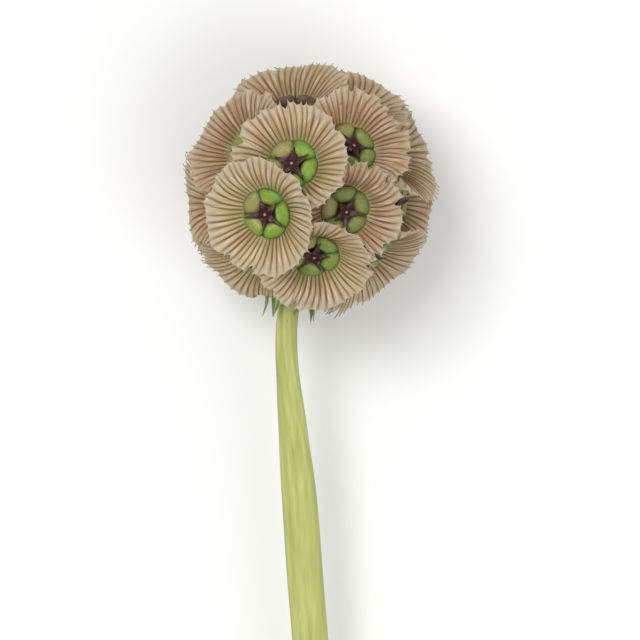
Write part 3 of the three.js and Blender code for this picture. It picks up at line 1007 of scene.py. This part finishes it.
@dataclass
class PodBodies:
    """The seed bodies: a tube, and five rounded lobes round a pit at its top."""

    head: Head
    cups: PaperCups
    lobes: int = 5
    steps_per_lobe: int = 12
    tube: Profile = ((1.9, 10.5), (2.4, 13.0), (3.1, 15.0), (4.1, 16.6), (4.9, 17.6))
    shoulder: Profile = ((5.25, 18.05), (5.15, 18.25), (5.1, 18.25))
    lobe_outside: Profile = ((5.2, 18.4), (5.0, 18.85), (4.45, 19.2), (3.7, 19.3))
    lobe_inside: Profile = ((2.95, 19.1), (2.35, 18.7), (1.85, 18.2), (1.5, 17.7))
    pit: Profile = ((1.2, 17.3), (0.6, 17.2), (0.0, 17.2))
    lobe_middle: float = 3.4
    full_height: float = 19.0
    roundness: tuple[float, float] = (3.2, 0.55)
    swell: tuple[float, float] = (0.82, 1.1)
    crease_height: float = 18.05
    crease_pull: float = 0.24
    drying: tuple[float, float] = (0.35, 0.75)
    drying_chance: float = 0.4
    inner_edge: tuple[float, float] = (2.4, 4.4)
    core_radius: float = 12.0
    core_rows: int = 16
    core_steps: int = 32
    seed: int = 977
    finish: PodFlesh = PodFlesh()

    def _form(self) -> Form:
        """Returns the body's form."""
        rows = [*self.tube, *self.shoulder, *self.lobe_outside, *self.lobe_inside, *self.pit]
        return Form(rows, self.lobes * self.steps_per_lobe, Facing.UP)

    def _body(self, form: Form, pod: Pod, draws: Draws) -> Marked:
        """Shapes one seed body.

        Args:
            form: The body's form.
            pod: Its pod.
            draws: Where its chances come from.

        Returns:
            Its points in its pod's frame, and their marks.
        """
        sector = math.tau / self.lobes
        angle = form.angle
        lobe = np.floor(angle / sector).astype(int) % self.lobes
        across = (angle % sector) / sector * 2.0 - 1.0
        square, soft = self.roundness
        round_off = (1.0 - np.abs(across) ** square) ** soft
        first = len(self.tube) + len(self.shoulder)
        before_pit = form.rows < first + len(self.lobe_outside) + len(self.lobe_inside)
        on_lobe = (form.rows >= first) & before_pit
        pinched = (form.rows >= first - 2) & before_pit
        swell = draws.several(self.lobes, *self.swell)[lobe]
        height = form.places[:, 2]
        floor = np.minimum(height, self.crease_height)
        raised = floor + (height - floor) * round_off * swell
        height = np.where(pinched, raised, height)
        pull = 1.0 - self.crease_pull * (1.0 - round_off)
        pulled = self.lobe_middle + (form.radius - self.lobe_middle) * pull
        radius = np.where(on_lobe, pulled, form.radius)
        places = np.column_stack([radius * np.cos(angle), radius * np.sin(angle), height])
        is_lobe = smooth(raised, self.crease_height - 0.1, self.full_height)
        middles = (np.arange(self.lobes) + 0.5) * sector
        east = np.cos(middles) * pod.turn[0, 0] + np.sin(middles) * pod.turn[0, 1]
        chance = draws.several(self.lobes, -self.drying_chance, self.drying_chance)
        drying = smooth(chance - east, *self.drying)[lobe]
        dry = np.where(on_lobe, drying * 0.9 * round_off, 0.0)
        # The inner mark lightens the lobes towards the star in the finish, as a painted highlight.
        low, high = self.inner_edge
        marks = {
            "lobe": np.where(on_lobe, is_lobe, 0.25),
            "dry": np.where((form.rows >= first - 3) & (form.rows < first), 0.45 * round_off, dry),
            "body": smooth(first - 1.0 - form.rows, 1.0, 3.0),
            "fresh": np.full(len(dry), pod.fresh),
            "inner": smooth(-form.radius, -high, -low) * on_lobe,
        }
        return places, marks

    def build(self) -> bpy.types.Object:
        """Returns all the seed bodies, with the receptacle that they grow from, as one piece."""
        form = self._form()
        draws = Draws(self.seed)
        bodies = (self._body(form, pod, draws) for pod in self.head.by_rank())
        cluster = self.cups.fill(form, bodies)
        tilts = [math.pi * row / self.core_rows for row in range(self.core_rows + 1)]
        outline = [(math.sin(tilt), -math.cos(tilt)) for tilt in tilts]
        ball = Form(outline, self.core_steps, Facing.OUT)
        marks = dict.fromkeys(("lobe", "dry", "body", "fresh", "inner"), np.zeros(len(ball.places)))
        marks["body"] = np.ones(len(ball.places))
        cluster.add(ball, self.head.placed(ball.places * self.core_radius), marks)
        piece = cluster.piece("seed_bodies", self.finish.make())
        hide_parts("pod_bodies")
        return piece


@dataclass
class Stars:
    """The dark star of each pod: five keeled arms that end in bristles, on a stalk in the pit."""

    head: Head
    cups: PaperCups
    arms: int = 5
    steps_per_arm: int = 8
    top: float = 19.0
    notch: float = 1.2
    bristle_reach: float = 4.6
    widths: Profile = ((1.2, 0.70), (1.6, 0.54), (2.0, 0.35), (2.4, 0.17), (2.9, 0.07), (4.6, 0.03))
    lengths: tuple[float, float] = (0.55, 1.15)
    crook: float = 0.3
    rises: tuple[float, float] = (0.1, 1.9)
    arm_reach: float = 2.4
    tip_rise: float = 0.55
    keel: float = 0.22
    depth: float = 0.55
    stalk_radius: float = 0.75
    stalk_foot: float = 17.1
    sizes: tuple[float, float] = (0.82, 1.0)
    spot_edge: tuple[float, float] = (0.21, 0.39)
    spot_height: float = 0.18
    seed: int = 313
    over: tuple[float, ...] = (0.0, 0.05, 0.10, 0.17, 0.235, 0.36, 0.48, 0.60, 0.73, 1.0)
    under: tuple[float, ...] = (0.73, 0.60, 0.48, 0.36, 0.235, 0.17)
    finish: StarSkin = StarSkin()

    def _form(self) -> Form:
        """Returns the star's form: rows out over its top, back under it and down its stalk."""
        over = [(share, 1.0) for share in self.over]
        under = [(share, 0.9) for share in self.under]
        stalk = [(0.12, 0.5), (0.12, 0.0), (0.0, 0.0)]
        return Form([*over, *under, *stalk], self.arms * self.steps_per_arm, Facing.OUT)

    def _star(self, form: Form, draws: Draws) -> Marked:
        """Shapes one star.

        Args:
            form: The star's form.
            draws: Where its chances come from.

        Returns:
            Its points in its pod's frame, and their marks.
        """
        sector = math.tau / self.arms
        half = self.steps_per_arm // 2
        nearest = np.rint(form.columns / self.steps_per_arm).astype(int)
        offset = form.columns - nearest * self.steps_per_arm
        arm = nearest % self.arms
        along = form.radius * self.bristle_reach
        on_arm = along > self.notch + 0.01
        size = draws.between(*self.sizes)
        length = draws.several(self.arms, *self.lengths)[arm]
        along = np.where(on_arm, self.notch + (along - self.notch) * length, along)
        between = np.abs(offset) == half
        along = np.where(between, np.minimum(along, self.notch), along)
        fan = offset / half * along * math.tan(sector / 2.0)
        reaches, widths = zip(*self.widths)
        across = np.clip(offset / (half - 1), -1.0, 1.0)
        side = np.where(on_arm & ~between, across * np.interp(along, reaches, widths), fan)
        crook = draws.several(self.arms, -self.crook, self.crook)[arm]
        lean = arm * sector + crook * smooth(along, self.notch * 0.8, self.bristle_reach)
        x = size * (along * np.cos(lean) - side * np.sin(lean))
        y = size * (along * np.sin(lean) + side * np.cos(lean))
        out = smooth(along, self.notch * 0.5, self.arm_reach)
        rise = draws.several(self.arms, *self.rises)[arm] * self.tip_rise
        level = self.top + rise * smooth(along, self.notch, self.bristle_reach)
        middle = 1.0 - np.abs(across)
        ridge = self.keel * middle * mix(0.4, 1.0, out)
        ridge = ridge * (1.0 - 0.7 * smooth(along, self.arm_reach, self.bristle_reach))
        spot = self.spot_height * (1.0 - smooth(along, *self.spot_edge))
        thick = self.depth * mix(1.0, 0.25, out) * (1.0 - 0.7 * np.abs(across))
        z = level + np.where(form.rows < len(self.over), ridge + spot, -thick)
        foot = len(self.over) + len(self.under)
        stalk_radius = self.stalk_radius * (form.radius > 0.0)
        stalk_height = np.where(form.rows > foot, self.stalk_foot, self.top - self.depth)
        stalk = [stalk_radius * np.cos(form.angle), stalk_radius * np.sin(form.angle), stalk_height]
        places = np.where(form.rows >= foot, stalk, [x, y, z]).T
        reach = np.clip(along / self.bristle_reach, 0.0, 1.0)
        return places, {"reach": reach, "keel": middle * out}

    def build(self) -> bpy.types.Object:
        """Returns all the stars as one piece."""
        form = self._form()
        draws = Draws(self.seed)
        stars = (self._star(form, draws) for _ in self.head.pods)
        piece = self.cups.fill(form, stars).piece("stars", self.finish.make())
        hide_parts("pod_bodies")
        return piece


@dataclass
class Stem:
    """The flower stalk: a ribbed oval rod that turns along its length, cut square at its end."""

    head: Head
    fall: float = 0.0746
    top_gap: float = 12.6
    neck_length: float = 5.0
    upper_route: Profile = ((-4.6, -27.4), (-2.0, -62.0), (1.1, -103.0))
    lower_route: Profile = ((5.4, -165.0), (7.4, -225.0), (5.9, -285.0))
    half_widths: tuple[float, float, float] = (2.6, 3.6, 3.3)
    half_depths: tuple[float, float, float] = (2.1, 2.3, 2.7)
    turns: tuple[float, float, float] = (82.0, 4.0, -28.0)
    widen: tuple[float, float] = (0.03, 0.2)
    end_from: float = 0.25
    ribs: int = 10
    steps_per_rib: int = 9
    rib_height: float = 0.018
    grooves: int = 23
    groove: float = 0.005
    groove_sway: tuple[float, float] = (9.0, 7.0)
    bulges: tuple[tuple[float, float, float], ...] = ((0.012, 31.0, 0.0), (0.01, 73.0, 1.0))
    edge: float = 0.1
    rows: int = 90
    points_per_span: int = 40
    bevel: float = 0.94
    pith_share: float = 0.78
    pith_depth: float = 0.35
    marrow_share: float = 0.35
    finish: StalkSkin = StalkSkin()

    def _line(self) -> tuple[np.ndarray, np.ndarray]:
        """Returns even points on the stem's middle line, and the unit vectors along it."""
        neck = (self.top_gap, self.top_gap + self.neck_length)
        knots = [self.head.stem_way * reach for reach in neck]
        route = (*self.upper_route, *self.lower_route)
        knots += [np.array([x, y, self.fall * y]) for x, y in route]
        knots = [2.0 * knots[0] - knots[1], *knots, 2.0 * knots[-1] - knots[-2]]
        dense: list[np.ndarray] = []
        for four in zip(knots, knots[1:], knots[2:], knots[3:]):
            dense += list(self._span(four))
        line = np.array([*dense, knots[-2]])
        travel = np.concatenate([[0.0], np.cumsum(np.linalg.norm(np.diff(line, axis=0), axis=1))])
        even = np.linspace(0.0, travel[-1], self.rows + 1)
        points = np.column_stack([np.interp(even, travel, line[:, axis]) for axis in range(3)])
        ahead = np.gradient(points, axis=0)
        return self.head.placed(points), ahead / np.linalg.norm(ahead, axis=1)[:, None]

    def _span(self, knots: Sequence[np.ndarray]) -> Iterator[np.ndarray]:
        """Draws a smooth line between the middle two of four knots.

        Args:
            knots: Four places that the line runs through.

        Yields:
            Its points, without the last.
        """
        times = [0.0]
        for first, second in zip(knots, knots[1:]):
            times.append(times[-1] + math.sqrt(np.linalg.norm(second - first)))
        for time in np.linspace(times[1], times[2], self.points_per_span, endpoint=False):
            points = list(knots)
            for spans in (((0, 1), (1, 2), (2, 3)), ((0, 2), (1, 3)), ((1, 2),)):
                points = [
                    mix(start, end, (time - times[low]) / (times[high] - times[low]))
                    for start, end, (low, high) in zip(points, points[1:], spans)
                ]
            yield points[0]

    def _along(self, share: np.ndarray, values: tuple[float, float, float]) -> np.ndarray:
        """Carries a value along the stem.

        Args:
            share: Places on the stem, 0 under the head and 1 at the cut end.
            values: The value at the neck, in the middle and at the cut end.

        Returns:
            The value at each of the places.
        """
        neck, middle, end = values
        upper = mix(neck, middle, smooth(share, *self.widen))
        return mix(upper, end, smooth(share, self.end_from, 1.0))

    def build(self) -> bpy.types.Object:
        """Returns the stem as one piece."""
        side = [(0.0, 0), *((1.0, row) for row in range(self.rows)), (1.0, self.rows - self.edge)]
        shares = (1.0, self.bevel, self.pith_share, self.pith_share * 0.9, self.marrow_share, 0.0)
        cut = [(share, self.rows) for share in shares]
        form = Form([*side, *cut], self.ribs * self.steps_per_rib, Facing.OUT)
        points, ahead = self._line()
        row = np.clip(np.rint(form.places[:, 2]).astype(int), 0, self.rows)
        past = (form.places[:, 2] - row) * np.linalg.norm(points[1] - points[0])
        share = row / self.rows
        across = np.cross(np.array([0.0, 0.0, 1.0]), ahead)
        across /= np.linalg.norm(across, axis=1)[:, None]
        above = np.cross(ahead, across)
        rib = 1.0 + self.rib_height * (np.cos(self.ribs * form.angle) - 1.0)
        swell = 1.0
        for depth, turns, twist in self.bulges:
            swell = swell + depth * np.sin(share * turns + twist * form.angle)
        sway, sway_turns = self.groove_sway
        groove = np.cos(self.grooves * form.angle + sway * np.sin(share * sway_turns))
        swell = swell + self.groove * groove
        x = self._along(share, self.half_widths) * rib * swell * form.radius * np.cos(form.angle)
        y = self._along(share, self.half_depths) * rib * swell * form.radius * np.sin(form.angle)
        turn = np.radians(self._along(share, self.turns))
        aside = x * np.cos(turn) - y * np.sin(turn)
        rise = x * np.sin(turn) + y * np.cos(turn)
        places = points[row] + across[row] * aside[:, None] + above[row] * rise[:, None]
        past = past - np.where(form.rows > len(side) + 2, self.pith_depth, 0.0)
        places = places + ahead[row] * past[:, None]
        pith = np.where(form.rows > len(side) + 1, 1.0, 0.0)
        core = np.clip(1.0 - form.radius / self.pith_share, 0.0, 1.0)
        ridge = (np.cos(self.ribs * form.angle) + 1.0) / 2.0
        cluster = Cluster()
        cluster.add(form, places, {"ridge": ridge, "pith": pith, "core": core})
        piece = cluster.piece("stalk", self.finish.make())
        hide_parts("stem")
        return piece


@dataclass
class Bracts:
    """The whorl of narrow leaves under the head, bent back along the stalk from a collar."""

    head: Head
    count: int = 7
    seed: int = 20267
    collar_outside: Profile = ((2.95, 13.4), (3.4, 13.4), (3.75, 14.3), (3.95, 15.4))
    collar_inside: Profile = ((3.75, 16.1), (3.2, 16.2), (2.95, 15.6), (2.95, 13.4))
    collar_steps: int = 32
    route: Profile = ((14.4, 3.3), (17.6, 4.7), (21.0, 4.9), (24.2, 4.7), (27.0, 5.2))
    widths: tuple[float, ...] = (0.75, 1.0, 0.95, 0.65, 0.06)
    half_width: float = 1.5
    thickness: float = 0.5
    thinnest: float = 0.3
    cup: float = 0.35
    midrib: float = 0.25
    length_spread: float = 0.2
    turn_spread: float = 0.4
    rows: int = 18
    columns: int = 8
    finish: LeafSkin = LeafSkin()

    def build(self) -> bpy.types.Object:
        """Returns the collar and its leaves as one piece."""
        turn = turn_onto(self.head.stem_way)
        cluster = Cluster()
        collar = Form([*self.collar_outside, *self.collar_inside], self.collar_steps, Facing.OUT)
        marks = dict.fromkeys(("along", "midrib"), np.zeros(len(collar.places)))
        cluster.add(collar, self.head.placed(collar.places @ turn.T), marks)
        draws = Draws(self.seed)
        leaf = Form([(1.0, row) for row in range(self.rows + 1)], 2 * self.columns, Facing.OUT)
        share = leaf.places[:, 2] / self.rows
        place = share * (len(self.route) - 1)
        knots = np.arange(len(self.route))
        heights, radii = zip(*self.route)
        width = np.interp(place, knots, self.widths)
        side = np.cos(leaf.angle)
        thick = self.thickness / 2.0 * np.clip(width, self.thinnest, 1.0)
        radial = np.interp(place, knots, radii) + self.cup * side * side * width
        radial = radial + np.sin(leaf.angle) * thick * (1.0 - 0.5 * np.abs(side))
        sideways = side * self.half_width * width
        marks = {"along": share, "midrib": np.clip(1.0 - np.abs(side) / self.midrib, 0.0, 1.0)}
        for number in range(self.count):
            bearing = math.tau * (number + self.turn_spread * draws.next()) / self.count
            scale = 1.0 - self.length_spread * draws.next()
            # The leaf's form is mirrored here, so its faces look into the leaf.
            x = radial * math.cos(bearing) - sideways * math.sin(bearing)
            y = radial * math.sin(bearing) + sideways * math.cos(bearing)
            z = heights[0] + (np.interp(place, knots, heights) - heights[0]) * scale
            places = np.column_stack([x, y, z]) @ turn.T
            cluster.add(leaf, self.head.placed(places), marks)
        piece = cluster.piece("bract_whorl", self.finish.make())
        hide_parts("bracts")
        return piece


@dataclass(frozen=True)
class Lamp:
    """A soft square light.

    It has a place, counted from the point that the camera looks at, a side and a power in watts.
    """

    name: str
    place: tuple[float, float, float]
    side: float
    power: float


@dataclass
class Studio:
    """A pale floor, soft lights and the camera that looks straight down."""

    look_at: tuple[float, float, float] = (2.0, 104.0, 20.0)
    frame_width: float = 128.0
    distance: float = 2500.0
    sensor: float = 36.0
    clip: tuple[float, float] = (10.0, 20000.0)
    floor_size: float = 4000.0
    floor_colour: Colour = (0.86, 0.86, 0.85)
    floor_roughness: float = 0.9
    sky: Colour = (1.0, 1.0, 1.0)
    sky_strength: float = 0.62
    lamps: tuple[Lamp, ...] = (
        Lamp("key", (-320.0, 300.0, 900.0), 420.0, 5.0),
        Lamp("fill", (420.0, -420.0, 800.0), 700.0, 3.0),
    )

    def build(self) -> None:
        """Builds the floor, the lights and the camera."""
        self._floor()
        for lamp in self.lamps:
            self._light(lamp)
        bpy.context.scene.view_settings.view_transform = "Standard"
        world = bpy.data.worlds.new("studio")
        world.use_nodes = True
        background = world.node_tree.nodes["Background"]
        background.inputs["Color"].default_value = (*self.sky, 1.0)
        background.inputs["Strength"].default_value = self.sky_strength
        bpy.context.scene.world = world
        self._camera()

    def _floor(self) -> None:
        """Lays the floor."""
        shape = bmesh.new()
        bmesh.ops.create_grid(shape, x_segments=1, y_segments=1, size=self.floor_size * MM / 2.0)
        mesh = bpy.data.meshes.new("floor")
        shape.to_mesh(mesh)
        shape.free()
        sheet = Sheet("floor")
        mesh.materials.append(sheet.finish(sheet.skin(self.floor_colour, self.floor_roughness)))
        floor = bpy.data.objects.new("floor", mesh)
        bpy.context.scene.collection.objects.link(floor)
        floor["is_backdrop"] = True

    def _light(self, lamp: Lamp) -> None:
        """Hangs one light, facing the point that the camera looks at."""
        data = bpy.data.lights.new(lamp.name, "AREA")
        data.shape = "SQUARE"
        data.size = lamp.side * MM
        data.energy = lamp.power
        light = bpy.data.objects.new(lamp.name, data)
        light.location = (Vector(self.look_at) + Vector(lamp.place)) * MM
        light.rotation_euler = Vector(lamp.place).to_track_quat("Z", "Y").to_euler()
        bpy.context.scene.collection.objects.link(light)

    def _camera(self) -> None:
        """Hangs the camera over the head, with the head at the top of its picture."""
        lens = bpy.data.cameras.new("camera")
        lens.sensor_width = self.sensor
        lens.lens = self.sensor * self.distance / self.frame_width
        lens.clip_start, lens.clip_end = (reach * MM for reach in self.clip)
        camera = bpy.data.objects.new("camera", lens)
        camera.location = (Vector(self.look_at) + Vector((0.0, 0.0, self.distance))) * MM
        bpy.context.scene.collection.objects.link(camera)
        bpy.context.scene.camera = camera


def triangles(piece: bpy.types.Object) -> int:
    """Returns the number of triangles of a piece, its modifiers included."""
    shown = piece.evaluated_get(bpy.context.evaluated_depsgraph_get())
    return sum(len(face.vertices) - 2 for face in shown.to_mesh().polygons)


def keep_sizes(before: tuple[Vector, Vector], after: tuple[Vector, Vector]) -> None:
    """Gathers the solids' box and the dressed part's, each by its lowest and highest corner, but
    writes them nowhere.
    """
    names = ("cad", "visual")
    boxes = {name: [list(corner) for corner in box] for name, box in zip(names, (before, after))}


def main() -> None:
    """Builds the seed head, its stem and the studio."""
    logging.basicConfig(level=logging.INFO, format="%(name)s: %(message)s")
    head = Head()
    LOG.info("pods: %d", len(head.pods))
    cups = PaperCups(head)
    pieces = [
        *cups.build(),
        PodBodies(head, cups).build(),
        Stars(head, cups).build(),
        Stem(head).build(),
        Bracts(head).build(),
    ]
    for piece in pieces:
        LOG.info("%s: %d triangles", piece.name, triangles(piece))
    Studio().build()
    keep_sizes(cad_box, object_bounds())


if __name__ == "__main__":
    main()
